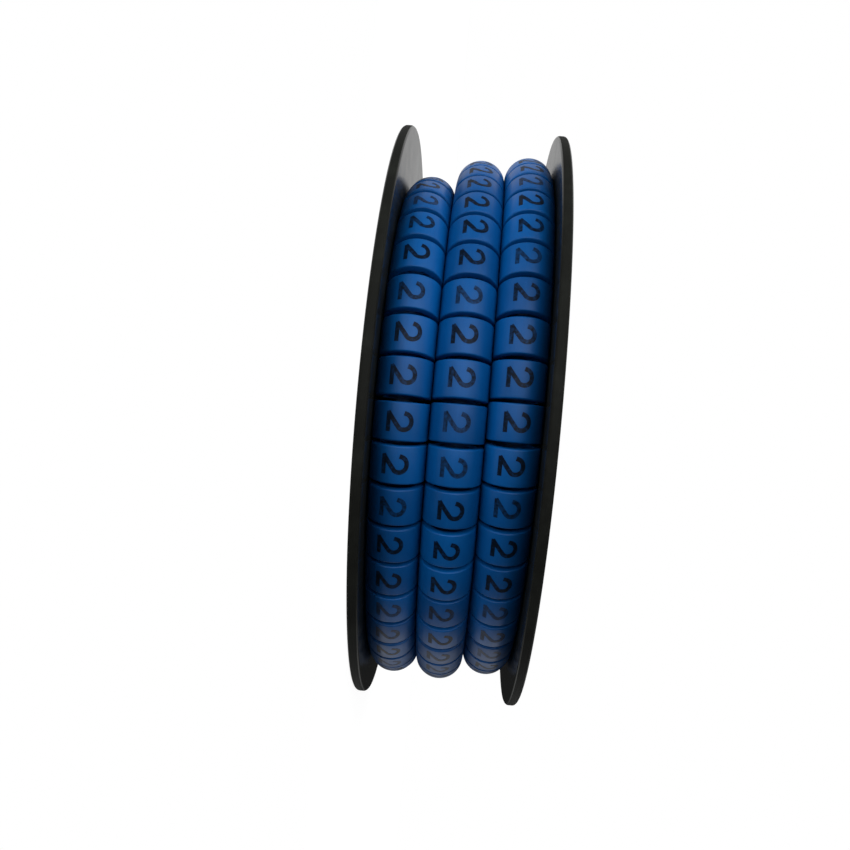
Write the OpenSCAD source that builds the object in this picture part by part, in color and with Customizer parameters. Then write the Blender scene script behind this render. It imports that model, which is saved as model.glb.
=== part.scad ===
// Reel of tear-off cable markers: a strip of soft tube, cut almost through into short numbered
// sleeves, wound in layers on a two-part plastic reel. The reel lies on its lower flange, Z is its axis.

/* [Reel] */
// Diameter of both flanges
reel_d = 90; // [88:0.5:120]
// Thickness of each flange
flange_t = 1.5; // [1.2:0.1:3]
// Radius of the rounded flange edge
rim_round = 0.5; // [0.2:0.05:0.55]
// Outside diameter of the hub that carries the winding
hub_d = 38.7; // [36:0.1:40]
// Wall of the outer hub sleeve, on the lower half
hub_wall = 1.9; // [1.5:0.1:2.5]
// Wall of the inner hub sleeve, on the upper half
sleeve_wall = 1.8; // [1.2:0.1:2.5]
// Radial play between the two hub sleeves
sleeve_play = 0.05; // [0.02:0.01:0.2]
// Height of the snap bead that holds the halves together
bead_h = 0.4; // [0.2:0.05:0.6]
// Play of the bead in its groove, along the axis
bead_play = 0.1; // [0.05:0.05:0.3]
// Number of slits that free the snap fingers
finger_slits = 4; // [2:1:6]
// Width of each slit
slit_w = 1.6; // [0.8:0.1:3]
// Length of each slit
slit_l = 8; // [5:0.5:12]

/* [Markers] */
// Outside diameter of the marker tube
tube_d = 6.9; // [6:0.1:7.1]
// Bore that slides over the cable
tube_bore = 5.1; // [4:0.1:5.2]
// Length of one marker, from cut to cut
marker_l = 4.6; // [4:0.1:6]
// Width of the blade's cut
cut_w = 0.1; // [0.04:0.02:0.3]
// Width of the uncut bridge between two markers
bridge_w = 2; // [1:0.1:2.4]
// Thickness of the bridge, inside the tube wall
bridge_t = 0.5; // [0.3:0.05:0.6]
// Length of the bridge, across the cut and into both markers
bridge_l = 1.2; // [0.8:0.1:1.6]

/* [Winding] */
// Gap between neighbouring turns, and at the flanges
turn_gap = 0.15; // [0.15:0.05:0.4]
// Gap between the hub and the first layer, and between layers
layer_gap = 0.15; // [0.15:0.05:0.4]
// Turn count at which the strip ends, near the upper flange
strip_turns = 7.53; // [7:0.01:7.55]

/* [Hidden] */
$fn = 96;

// Levels of the reel, from the floor up
rows = 3;
winding_w = rows * tube_d + (rows + 1) * turn_gap;
lower_face = flange_t;
upper_face = flange_t + winding_w;
reel_h = upper_face + flange_t;

// Radii of the two telescoped hub sleeves, and of the bead and its groove
hub_r = hub_d / 2;
socket_r = hub_r - hub_wall;
sleeve_r = socket_r - sleeve_play;
bore_r = sleeve_r - sleeve_wall;
groove_r = socket_r + bead_h;
bead_r = groove_r - sleeve_play;
bead_z = lower_face + bead_h;

// Path of the strip: turns so far, row across the reel, layer above the hub
path = [[0.394, 0, 0], [0.90, 0, 0], [1.40, 1, 0], [1.90, 1, 0], [2.40, 2, 0], [2.60, 2, 0],
        [2.90, 2, 1], [3.20, 2, 1], [3.60, 1, 1], [4.20, 1, 1], [4.60, 0, 1], [4.90, 0, 1],
        [5.20, 0, 2], [5.50, 0, 2], [5.95, 1, 2], [6.50, 1, 2], [6.95, 2, 2], [7.60, 2, 2]];

// How far the loose outer layer stands off the one below: turns so far, then rise in tube diameters
loose_outer = [[4.90, 0.00], [5.20, 0.12], [5.46, 0.16], [5.75, 0.18], [6.04, 0.02],
               [6.46, 0.22], [6.75, 0.08], [7.04, 0.15], [7.46, 0.03]];

// Spacing of turns and layers, and the direction in which the winding starts
turn_pitch = tube_d + turn_gap;
layer_pitch = tube_d + layer_gap;
first_row_z = lower_face + turn_gap + tube_d / 2;
full_turn = 360;
start_angle = 180;

// Wall of the tube, and the depth at which the bridge lies in the middle of it
tube_wall = (tube_d - tube_bore) / 2;
bridge_depth = (tube_wall + bridge_t) / 2;

// Row (1) or layer (2) of the strip after t turns, eased from one path point to the next
function smooth(s) = s * s * (3 - 2 * s);
function leg(t) = max([for (i = [0 : len(path) - 2]) if (path[i][0] <= t) i]);
function eased(t, what) =
    let (from = path[leg(t)], to = path[leg(t) + 1])
    from[what] + (to[what] - from[what]) * smooth((t - from[0]) / (to[0] - from[0]));

// Radius of the strip's inner side, the line on which the bridges lie
function bridge_r(t) = hub_r + layer_gap + layer_pitch * eased(t, 2)
    + tube_d * lookup(t, loose_outer);

// Point on that line, and all the cuts: one marker further along each time
function bridge_point(t) =
    let (r = bridge_r(t), at = start_angle + full_turn * t)
    [r * cos(at), r * sin(at), first_row_z + turn_pitch * eased(t, 1)];
function next_cut(t) = t + 2 * asin(marker_l / 2 / bridge_r(t)) / full_turn;
cuts = [for (t = path[0][0]; t < strip_turns; t = next_cut(t)) bridge_point(t)];
markers = len(cuts) - 1;

// Turns Z into a direction along the strip, with Y towards the reel's axis
function aim(v) = [0, acos(v.z / norm(v)), atan2(v.y, v.x)];

// Half section of a flange disc whose outer edge is rounded
module flange_section(from_r) {
    translate([from_r, 0]) square([reel_d / 2 - rim_round - from_r, flange_t]);
    translate([from_r, rim_round]) square([reel_d / 2 - from_r, flange_t - 2 * rim_round]);
    for (z = [rim_round, flange_t - rim_round])
        translate([reel_d / 2 - rim_round, z]) circle(rim_round);
}

// Ring section of a bead or groove: a flat crest with a lead-in slope on both sides
module bead_section(root_r, crest_r, half_w) {
    polygon([[root_r, -half_w - (crest_r - root_r)], [crest_r, -half_w],
             [crest_r, half_w], [root_r, half_w + (crest_r - root_r)]]);
}

// Lower flange with the outer hub sleeve, grooved inside for the snap bead
module reel_lower_half() {
    color([0.06, 0.06, 0.065])
    rotate_extrude()
    difference() {
        union() {
            flange_section(socket_r);
            translate([socket_r, 0]) square([hub_wall, upper_face]);
        }
        translate([0, bead_z]) bead_section(socket_r, groove_r, bead_h / 2 + bead_play);
    }
}

// Upper flange with the inner hub sleeve, whose slit end snaps into the lower half
module reel_upper_half() {
    color([0.06, 0.06, 0.065])
    difference() {
        rotate_extrude() {
            translate([0, upper_face]) flange_section(bore_r);
            translate([bore_r, 0]) square([sleeve_wall, reel_h - rim_round]);
            translate([0, bead_z]) bead_section(sleeve_r, bead_r, bead_h / 2);
        }
        for (i = [0 : finger_slits - 1])
            rotate(i * full_turn / finger_slits)
            translate([bore_r - bead_h, -slit_w / 2, -bead_h])
                cube([sleeve_wall + 3 * bead_h, slit_w, slit_l + bead_h]);
    }
}

// One marker: a straight length of tube, set outwards from its bridge line
module marker(from, to) {
    translate(from) rotate(aim(to - from))
    translate([0, -tube_d / 2, cut_w / 2])
    linear_extrude(marker_l - cut_w)
    difference() {
        circle(d = tube_d);
        circle(d = tube_bore);
    }
}

// The uncut web inside the tube wall that joins two markers
module bridge(before, at, after) {
    translate(at) rotate(aim(after - before))
    translate([-bridge_w / 2, -bridge_depth, -bridge_l / 2])
        cube([bridge_w, bridge_t, bridge_l]);
}

// The whole strip, from its inner end at the hub to its free outer end
module marker_strip() {
    color([0.04, 0.30, 0.68])
    union() {
        for (i = [0 : markers - 1]) marker(cuts[i], cuts[i + 1]);
        for (i = [1 : markers - 1]) bridge(cuts[i - 1], cuts[i], cuts[i + 1]);
    }
}

reel_lower_half();
reel_upper_half();
marker_strip();
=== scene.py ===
import math
import random

import bmesh
import bpy
from mathutils import Matrix, Vector


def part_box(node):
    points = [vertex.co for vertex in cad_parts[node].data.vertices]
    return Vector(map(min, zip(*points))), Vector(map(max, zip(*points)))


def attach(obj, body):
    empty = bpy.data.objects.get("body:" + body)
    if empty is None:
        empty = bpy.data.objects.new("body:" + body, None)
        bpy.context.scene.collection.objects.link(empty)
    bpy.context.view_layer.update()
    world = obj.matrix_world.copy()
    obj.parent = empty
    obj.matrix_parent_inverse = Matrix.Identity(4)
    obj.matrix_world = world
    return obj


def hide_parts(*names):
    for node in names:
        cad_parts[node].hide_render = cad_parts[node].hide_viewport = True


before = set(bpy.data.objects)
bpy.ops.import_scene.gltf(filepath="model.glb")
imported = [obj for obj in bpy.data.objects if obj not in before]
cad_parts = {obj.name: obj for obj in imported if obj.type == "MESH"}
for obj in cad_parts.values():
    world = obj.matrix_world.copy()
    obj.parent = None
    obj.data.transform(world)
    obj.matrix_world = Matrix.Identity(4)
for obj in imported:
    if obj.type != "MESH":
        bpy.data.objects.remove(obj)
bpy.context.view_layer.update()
mm = 0.001
print("frame loaded")


# Colours are written as sRGB hex and used as linear light
def colour(hexText):
    parts = [int(hexText[i:i + 2], 16) / 255 for i in (1, 3, 5)]
    linear = [c / 12.92 if c <= 0.04045 else ((c + 0.055) / 1.055) ** 2.4 for c in parts]
    return (*linear, 1.0)


# Adds a shader node: settings are its sockets or properties, links are sockets fed by other nodes
def addNode(tree, kind, settings=None, links=None):
    made = tree.nodes.new(kind)
    for name, value in (settings or {}).items():
        if isinstance(name, int) or name in made.inputs:
            made.inputs[name].default_value = value
        else:
            setattr(made, name, value)
    for name, source in (links or {}).items():
        tree.links.new(source, made.inputs[name])
    return made


# An empty material with its output node
def newMaterial(name):
    material = bpy.data.materials.new(name)
    material.use_nodes = True
    tree = material.node_tree
    tree.nodes.clear()
    return material, tree, tree.nodes.new("ShaderNodeOutputMaterial")


# Extruded soft PVC: a deep blue with a satin sheen, faint draw lines along the tube,
# and markers that differ a little from one another
def extrudedPvc():
    material, tree, output = newMaterial("extruded soft PVC")
    uv = addNode(tree, "ShaderNodeUVMap", {"uv_map": "skin"}).outputs["UV"]
    tone = addNode(tree, "ShaderNodeAttribute", {"attribute_name": "tone"}).outputs["Fac"]
    # draw lines 0.4 mm apart, about 8 mm long along the tube; the skin's map is in millimetres
    drawn = addNode(
        tree, "ShaderNodeMapping", {"Scale": (1 / 0.4, 0.12, 1.0)}, {"Vector": uv}
    ).outputs["Vector"]
    lines = addNode(
        tree, "ShaderNodeTexNoise", {"Scale": 1.0, "Detail": 3.0}, {"Vector": drawn}
    ).outputs["Fac"]
    # handling marks, blotches of about 3 mm
    blotch = addNode(
        tree, "ShaderNodeTexNoise", {"Scale": 0.35, "Detail": 4.0}, {"Vector": uv}
    ).outputs["Fac"]
    mixed = addNode(
        tree, "ShaderNodeMix", {"data_type": "FLOAT", 0: 0.45}, {2: tone, 3: blotch}
    ).outputs[0]
    ramp = addNode(tree, "ShaderNodeValToRGB", {}, {"Fac": mixed})
    ramp.color_ramp.elements[0].position = 0.2
    ramp.color_ramp.elements[0].color = colour("#00437e")
    ramp.color_ramp.elements[1].position = 0.85
    ramp.color_ramp.elements[1].color = colour("#005194")
    rough = addNode(
        tree, "ShaderNodeMapRange", {"To Min": 0.32, "To Max": 0.46}, {"Value": blotch}
    ).outputs["Result"]
    bump = addNode(
        tree, "ShaderNodeBump", {"Strength": 0.25, "Distance": 0.03 * mm}, {"Height": lines}
    ).outputs["Normal"]
    shader = addNode(
        tree, "ShaderNodeBsdfPrincipled", {"IOR": 1.53, "Specular IOR Level": 0.18},
        {"Base Color": ramp.outputs["Color"], "Roughness": rough, "Normal": bump},
    )
    tree.links.new(shader.outputs["BSDF"], output.inputs["Surface"])
    return material


# Stamped ink: thin matt black, with the blue showing through where it is worn, on some markers more
def stampedInk():
    material, tree, output = newMaterial("stamped ink")
    place = addNode(tree, "ShaderNodeTexCoord").outputs["Object"]
    # worn specks of 0.4 mm
    worn = addNode(
        tree, "ShaderNodeTexNoise", {"Scale": 1 / (0.4 * mm), "Detail": 3.0}, {"Vector": place}
    ).outputs["Fac"]
    wear = addNode(tree, "ShaderNodeAttribute", {"attribute_name": "wear"}).outputs["Fac"]
    thin = addNode(
        tree, "ShaderNodeMath", {"operation": "MULTIPLY_ADD", 1: 0.24}, {0: wear, 2: worn}
    ).outputs["Value"]
    ramp = addNode(tree, "ShaderNodeValToRGB", {}, {"Fac": thin})
    ramp.color_ramp.elements[0].position = 0.5
    ramp.color_ramp.elements[0].color = colour("#020e1e")
    ramp.color_ramp.elements[1].position = 1.0
    ramp.color_ramp.elements[1].color = colour("#03396a")
    shader = addNode(
        tree, "ShaderNodeBsdfPrincipled", {"Roughness": 0.45, "IOR": 1.48, "Specular IOR Level": 0.17},
        {"Base Color": ramp.outputs["Color"]},
    )
    tree.links.new(shader.outputs["BSDF"], output.inputs["Surface"])
    return material


# Injection-moulded polystyrene: black, cloudy from handling and faintly grained. The flat faces keep the
# mould's polish, the rims are rubbed dull
def mouldedPolystyrene(name, dullness, shine):
    material, tree, output = newMaterial(name)
    place = addNode(tree, "ShaderNodeTexCoord").outputs["Object"]
    # handling marks, cloudy patches of 5 mm
    scuff = addNode(
        tree, "ShaderNodeTexNoise", {"Scale": 1 / (5 * mm), "Detail": 6.0, "Roughness": 0.65},
        {"Vector": place},
    ).outputs["Fac"]
    ramp = addNode(tree, "ShaderNodeValToRGB", {}, {"Fac": scuff})
    ramp.color_ramp.elements[0].position = 0.45
    ramp.color_ramp.elements[0].color = colour("#161715")
    ramp.color_ramp.elements[1].position = 0.8
    ramp.color_ramp.elements[1].color = colour("#20221f")
    rough = addNode(
        tree, "ShaderNodeMapRange", {"To Min": dullness, "To Max": dullness + 0.12}, {"Value": scuff}
    ).outputs["Result"]
    # moulded grain, drawn at 0.8 mm because the real one is too fine to show
    grain = addNode(
        tree, "ShaderNodeTexNoise", {"Scale": 1 / (0.8 * mm), "Detail": 2.0}, {"Vector": place}
    ).outputs["Fac"]
    bump = addNode(
        tree, "ShaderNodeBump", {"Strength": 0.12, "Distance": 0.04 * mm}, {"Height": grain}
    ).outputs["Normal"]
    shader = addNode(
        tree, "ShaderNodeBsdfPrincipled", {"IOR": 1.59, "Specular IOR Level": shine},
        {"Base Color": ramp.outputs["Color"], "Roughness": rough, "Normal": bump},
    )
    tree.links.new(shader.outputs["BSDF"], output.inputs["Surface"])
    return material


# Turns points in millimetres and faces into a shown object with clean outward normals
def makeObject(name, points, faces, material, smoothAngle=35.0):
    mesh = bpy.data.meshes.new(name)
    mesh.from_pydata([Vector(p) * mm for p in points], [], faces)
    work = bmesh.new()
    work.from_mesh(mesh)
    bmesh.ops.recalc_face_normals(work, faces=work.faces)
    work.to_mesh(mesh)
    work.free()
    mesh.shade_smooth()
    mesh.set_sharp_from_angle(angle=math.radians(smoothAngle))
    mesh.materials.append(material)
    made = bpy.data.objects.new(name, mesh)
    bpy.context.collection.objects.link(made)
    return made


# Faces of a grid of points that closes on itself both ways: rings one after the other
def closedGrid(first, rings, around):
    faces = []
    for i in range(rings):
        for j in range(around):
            a = first + i * around + j
            b = first + i * around + (j + 1) % around
            c = first + (i + 1) % rings * around + (j + 1) % around
            d = first + (i + 1) % rings * around + j
            faces.append((a, b, c, d))
    return faces


# The reel's sizes in millimetres: its radius and levels come from the frame
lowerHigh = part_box("reel_lower_half")[1]
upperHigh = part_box("reel_upper_half")[1]
reel = {
    "radius": upperHigh[0] / mm,
    "height": upperHigh[2] / mm,
    "upperFace": lowerHigh[2] / mm,
    "rimRound": 0.5,
    "hubRadius": 19.35,
    "hubWall": 1.9,
    "sleeveWall": 1.8,
    "sleevePlay": 0.05,
    "beadHeight": 0.4,
    "beadClear": 0.1,
    "slits": 4,
    "slitWidth": 1.6,
    "slitLength": 8.0,
    "segments": 256,
    "levelFrom": 0.7,  # a face counts as level where its normal's Z is at least this
}
reel["flange"] = reel["height"] - reel["upperFace"]
reelPolished = mouldedPolystyrene("moulded polystyrene, polished", 0.17, 0.2)
reelRubbed = mouldedPolystyrene("moulded polystyrene, rubbed", 0.6, 0.05)


# A closed half section turned about the reel's axis: its level faces are polished, its upright ones rubbed
def turned(name, section):
    points = []
    for r, z in section:
        for j in range(reel["segments"]):
            a = 2 * math.pi * j / reel["segments"]
            points.append((r * math.cos(a), r * math.sin(a), z))
    made = makeObject(name, points, closedGrid(0, len(section), reel["segments"]), reelPolished)
    made.data.materials.append(reelRubbed)
    for face in made.data.polygons:
        face.material_index = int(abs(face.normal.z) < reel["levelFrom"])
    return made


# The rounded outer edge of a flange whose lower face is at z: from the lower face round to the upper
def rim(z, steps=5):
    r = reel["rimRound"]
    points = []
    for low, start in ((True, -90), (False, 0)):
        centreZ = z + r if low else z + reel["flange"] - r
        for i in range(steps + 1):
            a = math.radians(start + 90 * i / steps)
            points.append((reel["radius"] - r + r * math.cos(a), centreZ + r * math.sin(a)))
    return points


socketRadius = reel["hubRadius"] - reel["hubWall"]
sleeveRadius = socketRadius - reel["sleevePlay"]
boreRadius = sleeveRadius - reel["sleeveWall"]
beadZ = reel["flange"] + reel["beadHeight"]

# Lower half: flange and outer hub sleeve, with the groove for the snap bead
grooveHalf = reel["beadHeight"] / 2 + reel["beadClear"]
groove = [
    (socketRadius, beadZ + grooveHalf + reel["beadHeight"]),
    (socketRadius + reel["beadHeight"], beadZ + grooveHalf),
    (socketRadius + reel["beadHeight"], beadZ - grooveHalf),
    (socketRadius, beadZ - grooveHalf - reel["beadHeight"]),
]
lowerSection = [(socketRadius, 0.0)] + rim(0.0) + [
    (reel["hubRadius"], reel["flange"]),
    (reel["hubRadius"], reel["upperFace"]),
    (socketRadius, reel["upperFace"]),
] + groove
reelLower = turned("reelLowerHalf", lowerSection)

# Upper half: flange and inner hub sleeve, with the snap bead and the slits that free its fingers
beadRadius = socketRadius + reel["beadHeight"] - reel["sleevePlay"]
beadHalf = reel["beadHeight"] / 2
upperSection = [(boreRadius, 0.0), (sleeveRadius, 0.0)] + [
    (sleeveRadius, beadZ - beadHalf - (beadRadius - sleeveRadius)),
    (beadRadius, beadZ - beadHalf),
    (beadRadius, beadZ + beadHalf),
    (sleeveRadius, beadZ + beadHalf + (beadRadius - sleeveRadius)),
    (sleeveRadius, reel["upperFace"]),
] + rim(reel["upperFace"]) + [(boreRadius, reel["height"])]
reelUpper = turned("reelUpperHalf", upperSection)
overrun = 1.0  # millimetres that a slit's cutter reaches past the sleeve's end
for i in range(reel["slits"]):
    bpy.ops.mesh.primitive_cube_add(size=1.0)
    cutter = bpy.context.object
    middle = Vector(((boreRadius + sleeveRadius) / 2, 0.0, (reel["slitLength"] - overrun) / 2)) * mm
    turn = Matrix.Rotation(2 * math.pi * i / reel["slits"], 4, "Z")
    size = Vector((2 * reel["sleeveWall"], reel["slitWidth"], reel["slitLength"] + overrun)) * mm
    cutter.matrix_world = turn @ Matrix.Translation(middle) @ Matrix.Diagonal((*size, 1.0))
    bpy.context.view_layer.update()
    cut = reelUpper.modifiers.new("slit", "BOOLEAN")
    cut.object = cutter
    cut.solver = "EXACT"
    bpy.context.view_layer.objects.active = reelUpper
    bpy.ops.object.modifier_apply(modifier=cut.name)
    bpy.data.objects.remove(cutter, do_unlink=True)
for piece, node in ((reelLower, "reel_lower_half"), (reelUpper, "reel_upper_half")):
    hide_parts(node)
    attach(piece, "root")
print("reel made")


# The strip's sizes in millimetres, and its path: turns so far, row across the reel, layer above the hub
strip = {
    "tubeDiameter": 6.9,
    "tubeBore": 5.1,
    "markerLength": 4.6,
    "cutWidth": 0.1,
    "cutRound": 0.2,
    "bridgeWidth": 2.0,
    "bridgeThickness": 0.5,
    "bridgeLength": 1.2,
    "turnGap": 0.15,
    "layerGap": 0.15,
    "turns": 7.53,
    "tilt": 0.9,  # degrees that a marker may lie askew
    "press": 0.09,  # how much wider each side of the soft tube is pressed
    "bend": 0.16,  # how much longer the outside of the bend is at each end
    "skinShift": 40.0,  # moves the draw lines from marker to marker
    "fineSegments": 48,
    "plainSegments": 20,
}
stripPath = [
    (0.394, 0, 0), (0.90, 0, 0), (1.40, 1, 0), (1.90, 1, 0), (2.40, 2, 0), (2.60, 2, 0),
    (2.90, 2, 1), (3.20, 2, 1), (3.60, 1, 1), (4.20, 1, 1), (4.60, 0, 1), (4.90, 0, 1),
    (5.20, 0, 2), (5.50, 0, 2), (5.95, 1, 2), (6.50, 1, 2), (6.95, 2, 2), (7.60, 2, 2),
]
looseOuter = [  # turns so far, then how far the outer layer stands off the one below, in tube diameters
    (4.90, 0.00), (5.20, 0.12), (5.46, 0.16), (5.75, 0.18), (6.04, 0.02),
    (6.46, 0.22), (6.75, 0.08), (7.04, 0.15), (7.46, 0.03),
]
outerLayerStart = 4.6  # turns: from here on the strip can be seen


# Value of a path column after some turns, eased from one path point to the next
def eased(turns, column):
    leg = max(i for i in range(len(stripPath) - 1) if stripPath[i][0] <= turns)
    start, end = stripPath[leg], stripPath[leg + 1]
    s = (turns - start[0]) / (end[0] - start[0])
    return start[column] + (end[column] - start[column]) * s * s * (3 - 2 * s)


# How far the strip stands off the layer below after some turns
def looseness(turns):
    if turns <= looseOuter[0][0]:
        return looseOuter[0][1]
    for (t0, rise0), (t1, rise1) in zip(looseOuter, looseOuter[1:]):
        if turns <= t1:
            return rise0 + (rise1 - rise0) * (turns - t0) / (t1 - t0)
    return looseOuter[-1][1]


# Radius of the strip's inner side, on which the bridges between markers lie
def bridgeRadius(turns):
    layerPitch = strip["tubeDiameter"] + strip["layerGap"]
    loose = strip["tubeDiameter"] * looseness(turns)
    return reel["hubRadius"] + strip["layerGap"] + layerPitch * eased(turns, 2) + loose


# Point on that line
def bridgePoint(turns):
    r = bridgeRadius(turns)
    a = math.pi + 2 * math.pi * turns
    width = strip["tubeDiameter"] + 2 * strip["press"]
    gap = strip["turnGap"] - 1.5 * strip["press"]  # three pressed turns share four gaps
    z = reel["flange"] + gap + width / 2 + (width + gap) * eased(turns, 1)
    return Vector((r * math.cos(a), r * math.sin(a), z))


# Directions at a marker: along the strip, away from the hub, and across towards the upper flange
def markerAxes(along):
    along = along.normalized()
    out = Vector((along.y, -along.x, 0.0)).normalized()
    return along, out, out.cross(along)


# All cuts, one marker further along each time
cutTurns = []
turns = stripPath[0][0]
while turns < strip["turns"]:
    cutTurns.append(turns)
    turns += math.asin(strip["markerLength"] / 2 / bridgeRadius(turns)) / math.pi
cuts = [bridgePoint(t) for t in cutTurns]

tubeRadius = strip["tubeDiameter"] / 2
boreR = strip["tubeBore"] / 2
wall = tubeRadius - boreR
chance = random.Random(11)


# Section of a marker's wall along its length: rounded at the cuts where it can be seen
def wallSection(fine):
    low, high = strip["cutWidth"] / 2, strip["markerLength"] - strip["cutWidth"] / 2
    if not fine:
        return [(tubeRadius, low), (tubeRadius, high), (boreR, high), (boreR, low)]
    c = strip["cutRound"]
    section = []
    for corner, start in ((low + c, 270), (high - c, 0)):
        for i in range(4):
            a = math.radians(start + 30 * i)
            section.append((tubeRadius - c + c * math.cos(a), corner + c * math.sin(a)))
    return section + [(boreR, high), (boreR, low)]


# Point of a marker at a radius, an angle from its outer side and a length from its cut: the soft tube is
# pressed a little wider between its neighbours, and stretched on the outside of the bend
def onMarker(marker, r, a, length):
    start, along, out, across = marker
    stretch = strip["bend"] * (1 + math.cos(a)) / 2 * (2 * length / strip["markerLength"] - 1)
    wide = r * math.sin(a) * (1 + strip["press"] / tubeRadius)
    return start + along * (length + stretch) + out * (r * math.cos(a)) + across * wide


stripPoints, stripFaces, stripTones, stripSkin = [], [], [], []
markers = []
for i in range(len(cuts) - 1):
    fine = cutTurns[i] > outerLayerStart
    along, out, across = markerAxes(cuts[i + 1] - cuts[i])
    # soft markers don't all lie at quite the same angle
    lean = math.radians(chance.uniform(-strip["tilt"], strip["tilt"]))
    middle = (cuts[i] + cuts[i + 1]) / 2
    turn = Matrix.Rotation(lean, 3, along.cross(out))
    along, out = turn @ along, turn @ out
    start = middle - along * strip["markerLength"] / 2 + out * tubeRadius
    marker = (start, along, out, across)
    markers.append((marker, cutTurns[i]))
    section = wallSection(fine)
    around = strip["fineSegments"] if fine else strip["plainSegments"]
    first = len(stripPoints)
    tone = chance.random()
    for r, z in section:
        for j in range(around):
            a = 2 * math.pi * j / around
            stripPoints.append(onMarker(marker, r, a, z))
            stripSkin.append((r * a + strip["skinShift"] * tone, z + strip["markerLength"] * i))
            stripTones.append(tone)
    stripFaces += closedGrid(first, len(section), around)

# The bridges: short webs inside the tube wall, on the hub side
for i in range(1, len(cuts) - 1):
    along, out, across = markerAxes(cuts[i + 1] - cuts[i - 1])
    first = len(stripPoints)
    for u in (-strip["bridgeLength"] / 2, strip["bridgeLength"] / 2):
        for v, w in ((-1, -1), (1, -1), (1, 1), (-1, 1)):
            depth = wall / 2 + w * strip["bridgeThickness"] / 2
            aside = v * strip["bridgeWidth"] / 2
            stripPoints.append(cuts[i] + along * u + across * aside + out * depth)
            stripSkin.append((v, strip["markerLength"] * i + u))
            stripTones.append(0.5)
    stripFaces += [tuple(first + k for k in face) for face in (
        (0, 1, 2, 3), (4, 5, 6, 7), (0, 1, 5, 4), (1, 2, 6, 5), (2, 3, 7, 6), (3, 0, 4, 7))]

markerStrip = makeObject("markerStrip", stripPoints, stripFaces, extrudedPvc(), 40.0)
toneLayer = markerStrip.data.attributes.new("tone", "FLOAT", "POINT")
toneLayer.data.foreach_set("value", stripTones)
skin = markerStrip.data.uv_layers.new(name="skin")
for loop in markerStrip.data.loops:
    skin.data[loop.index].uv = stripSkin[loop.vertex_index]
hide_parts("marker_strip")
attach(markerStrip, "root")
print("strip made:", len(markers), "markers")


# The printed figure in millimetres, measured on the tube's skin
figure = {
    "height": 3.38,
    "width": 2.42,
    "stroke": 0.55,
    "strokeEnd": 0.165,
    "bowlFrom": 170,  # degrees at which the bowl starts, and how far it sweeps
    "bowlSweep": 205,
    "ink": 0.015,
    "footInk": 0.009,  # lower than the bowl and slant, so that the two strokes don't share a face
    "sunk": 0.05,
    "wander": 0.12,
    "offCentre": -0.15,
}


# Middle lines of the figure two, x along the strip and y across it: bowl and slant, then the foot
def figureLines(bowlSteps=16, slantSteps=5, footSteps=3):
    bowl = (figure["width"] - figure["stroke"]) / 2
    top = (figure["height"] - figure["stroke"]) / 2
    centre = top - bowl
    line = []
    for i in range(bowlSteps + 1):
        a = math.radians(figure["bowlFrom"] - figure["bowlSweep"] * i / bowlSteps)
        line.append(Vector((bowl * math.cos(a), centre + bowl * math.sin(a))))
    heel = Vector((-bowl, -top))
    toe = Vector((bowl + figure["stroke"] / 4, -top))
    waist = line[-1]
    line += [waist.lerp(heel, i / slantSteps) for i in range(1, slantSteps + 1)]
    foot = [heel.lerp(toe, i / footSteps) for i in range(footSteps + 1)]
    return line, foot


# A stroke of ink wrapped on a marker: a thin closed ribbon along a middle line
def inkStroke(line, height, marker, middle, points, faces):
    first = len(points)
    count = len(line)
    below = -figure["sunk"]
    section = ((-1, height), (0, height), (1, height), (1, below), (-1, below))
    around = len(section)
    for i, at in enumerate(line):
        ahead = (line[min(i + 1, count - 1)] - line[max(i - 1, 0)]).normalized()
        side = Vector((-ahead.y, ahead.x)) * figure["stroke"] / 2
        edge = figure["strokeEnd"] * ((i == count - 1) - (i == 0))
        for part, level in section:
            spot = middle + at + ahead * edge + side * part
            points.append(onMarker(marker, tubeRadius + level, spot.y / tubeRadius, spot.x))
    for i in range(count - 1):
        for j in range(around):
            a = first + i * around + j
            b = first + i * around + (j + 1) % around
            faces.append((a, b, b + around, a + around))
    for ring in (0, count - 1):
        faces.append(tuple(first + ring * around + j for j in range(around)))


inkPoints, inkFaces, inkWear = [], [], []
figureLine, figureFoot = figureLines()
rubbing = random.Random(5)
for marker, turns in markers:
    if turns < outerLayerStart:
        continue
    wander = Vector((chance.uniform(-1, 1), chance.uniform(-1, 1))) * figure["wander"]
    middle = wander + Vector((strip["markerLength"] / 2 + figure["offCentre"], 0.0))
    inkStroke(figureLine, figure["ink"], marker, middle, inkPoints, inkFaces)
    inkStroke(figureFoot, figure["footInk"], marker, middle, inkPoints, inkFaces)
    worn = rubbing.random() ** 3  # most figures are whole, a few rubbed thin
    inkWear += [worn] * (len(inkPoints) - len(inkWear))
printedFigures = makeObject("printedFigures", inkPoints, inkFaces, stampedInk())
wearLayer = printedFigures.data.attributes.new("wear", "FLOAT", "POINT")
wearLayer.data.foreach_set("value", inkWear)
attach(printedFigures, "root")
print("figures printed")


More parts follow.
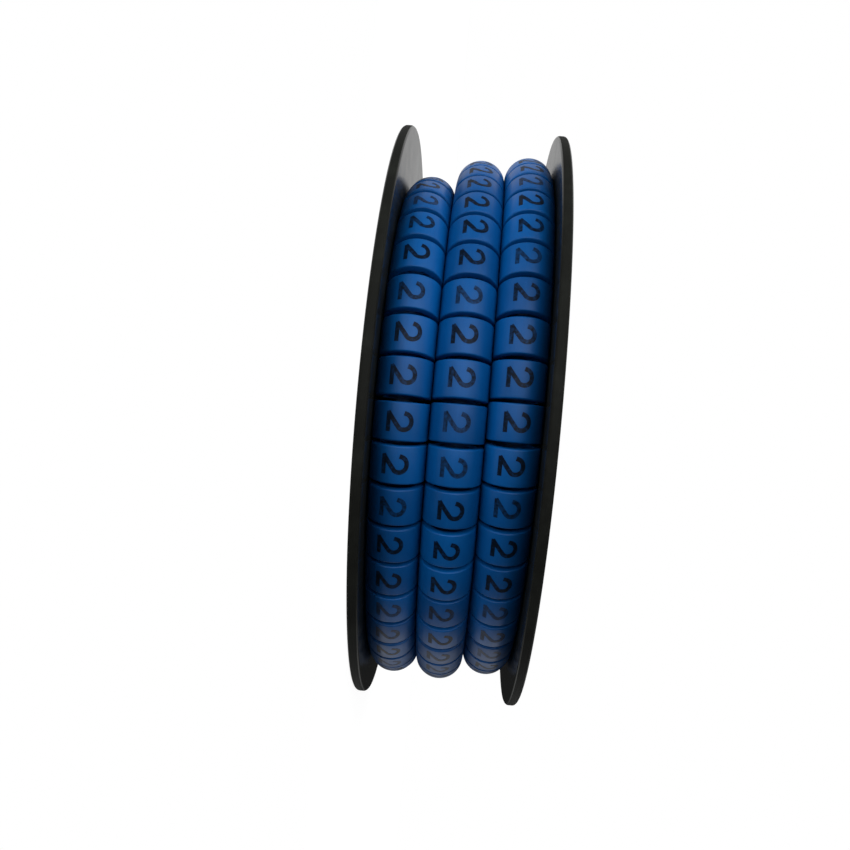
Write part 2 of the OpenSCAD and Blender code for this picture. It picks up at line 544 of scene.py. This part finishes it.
# The studio: brightness of the floor to the camera, and of the wall, the room and the ambient light, then
# where on the sky's axes the wall begins. Lamps have their place and size in millimetres, and power in watts
studio = {
    "floorGlow": 0.92,
    "wall": 0.65,
    "room": 0.02,
    "ambient": 0.1,
    "wallMiddle": 0.25,
    "wallAside": (0.15, 0.5),
    "wallBehind": (0.1, 0.6),
}
lamps = {
    # beyond the upper and the lower flange, and from behind: these light the colours without glare
    "upperLamp": {"at": (-520, -350, 780), "size": 1600, "power": 20.0, "unseenBy": ("glossy", "camera")},
    "lowerLamp": {"at": (-420, -440, -755.7), "size": 1600, "power": 17.0, "unseenBy": ("glossy", "camera")},
    "backLamp": {"at": (250, 700, 300), "size": 600, "power": 3.5, "unseenBy": ("glossy",)},
    # for the sheen, on the middle of the winding and along its side
    "keyLamp": {"at": (-150, -410, 60), "size": 420, "power": 1.2, "unseenBy": ("diffuse",)},
    "tableLamp": {"at": (340, 90, 20), "size": 280, "power": 0.16, "unseenBy": ()},
}
view = {
    "lens": 39.63,
    "sensor": 36.0,
    "shift": 0.0294,
    "at": (5.85, -154.71, 13.36),
    "dip": 2.4582,  # degrees that the camera looks down along the axis
    "roll": 5.0423,  # degrees that the reel leans in the picture
}


# Puts an object at a point, looking along a direction with a given up
def aimed(thing, at, forward, up):
    back = -Vector(forward).normalized()
    right = Vector(up).cross(back).normalized()
    turn = Matrix((right, back.cross(right), back)).transposed().to_4x4()
    thing.matrix_world = Matrix.Translation(Vector(at) * mm) @ turn


# A soft lamp: a square panel that looks at the middle of the reel
def softLamp(name, at, size, power, unseenBy):
    lamp = bpy.data.lights.new(name, "AREA")
    lamp.size = size * mm
    lamp.energy = power
    made = bpy.data.objects.new(name, lamp)
    bpy.context.collection.objects.link(made)
    aimed(made, at, Vector((0, 0, reel["height"] / 2)) - Vector(at), (0, 0, 1))
    for rays in unseenBy:
        setattr(made, "visible_" + rays, False)


# The pale floor that the reel lies on, a sheet of opal acrylic: white to the camera where no shadow falls.
# The lower lamp's light comes up through it past the lower flange
def paleFloor():
    material, tree, output = newMaterial("opal acrylic floor")
    cameraRay = addNode(tree, "ShaderNodeLightPath").outputs["Is Camera Ray"]
    strength = addNode(
        tree, "ShaderNodeMath", {"operation": "MULTIPLY", 1: studio["floorGlow"]}, {0: cameraRay}
    ).outputs["Value"]
    sheet = addNode(tree, "ShaderNodeBsdfDiffuse", {"Color": colour("#646464")})
    lit = addNode(tree, "ShaderNodeEmission", {"Color": colour("#ffffff")}, {"Strength": strength})
    both = addNode(
        tree, "ShaderNodeAddShader", {}, {0: sheet.outputs["BSDF"], 1: lit.outputs["Emission"]}
    )
    tree.links.new(both.outputs["Shader"], output.inputs["Surface"])
    bpy.ops.mesh.primitive_plane_add(size=1.2, location=(0.0, -0.4, 0.0))
    floor = bpy.context.object
    floor.name = "floor"
    floor.data.materials.append(material)
    for rays in ("glossy", "diffuse", "shadow"):
        setattr(floor, "visible_" + rays, False)


# The room: white to the camera. Reflections show a pale wall behind the object, above and below it in the
# picture, and are dark elsewhere. The room's own light is faint
def studioWorld():
    world = bpy.data.worlds.new("studio")
    bpy.context.scene.world = world
    world.use_nodes = True
    tree = world.node_tree
    tree.nodes.clear()
    path = addNode(tree, "ShaderNodeLightPath").outputs
    direction = addNode(tree, "ShaderNodeTexCoord").outputs["Generated"]
    axes = addNode(tree, "ShaderNodeSeparateXYZ", {}, {"Vector": direction}).outputs
    aside = addNode(
        tree, "ShaderNodeMath", {"operation": "SUBTRACT", 1: studio["wallMiddle"]}, {0: axes["X"]}
    ).outputs["Value"]
    away = addNode(tree, "ShaderNodeMath", {"operation": "ABSOLUTE"}, {0: aside}).outputs["Value"]
    near, far = studio["wallAside"]
    bands = addNode(
        tree, "ShaderNodeMapRange", {"From Min": near, "From Max": far}, {"Value": away}
    ).outputs["Result"]
    near, far = studio["wallBehind"]
    behind = addNode(
        tree, "ShaderNodeMapRange", {"From Min": near, "From Max": far}, {"Value": axes["Y"]}
    ).outputs["Result"]
    both = addNode(
        tree, "ShaderNodeMath", {"operation": "MULTIPLY"}, {0: bands, 1: behind}
    ).outputs["Value"]
    mirrored = addNode(
        tree, "ShaderNodeMapRange", {"To Min": studio["room"], "To Max": studio["wall"]}, {"Value": both}
    ).outputs["Result"]
    seen = addNode(
        tree, "ShaderNodeMath", {"operation": "MAXIMUM"},
        {0: path["Is Glossy Ray"], 1: path["Is Transmission Ray"]},
    ).outputs["Value"]
    light = addNode(
        tree, "ShaderNodeMix", {"data_type": "FLOAT", 2: studio["ambient"]}, {0: seen, 3: mirrored}
    ).outputs[0]
    strength = addNode(
        tree, "ShaderNodeMix", {"data_type": "FLOAT", 3: 1.0}, {0: path["Is Camera Ray"], 2: light}
    ).outputs[0]
    sky = addNode(tree, "ShaderNodeBackground", {"Color": colour("#ffffff")}, {"Strength": strength})
    addNode(tree, "ShaderNodeOutputWorld", {}, {"Surface": sky.outputs["Background"]})


paleFloor()
studioWorld()
for name, lamp in lamps.items():
    softLamp(name, lamp["at"], lamp["size"], lamp["power"], lamp["unseenBy"])

camera = bpy.data.cameras.new("camera")
camera.sensor_width = view["sensor"]
camera.lens = view["lens"]
camera.shift_y = view["shift"]
cameraObject = bpy.data.objects.new("camera", camera)
bpy.context.collection.objects.link(cameraObject)
dip = math.radians(view["dip"])
roll = math.radians(view["roll"])
forward = (0.0, math.cos(dip), -math.sin(dip))
up = (-math.cos(roll), -math.sin(roll) * math.sin(dip), -math.sin(roll) * math.cos(dip))
aimed(cameraObject, view["at"], forward, up)
bpy.context.scene.camera = cameraObject
bpy.context.scene.view_settings.view_transform = "Standard"
print("studio set")
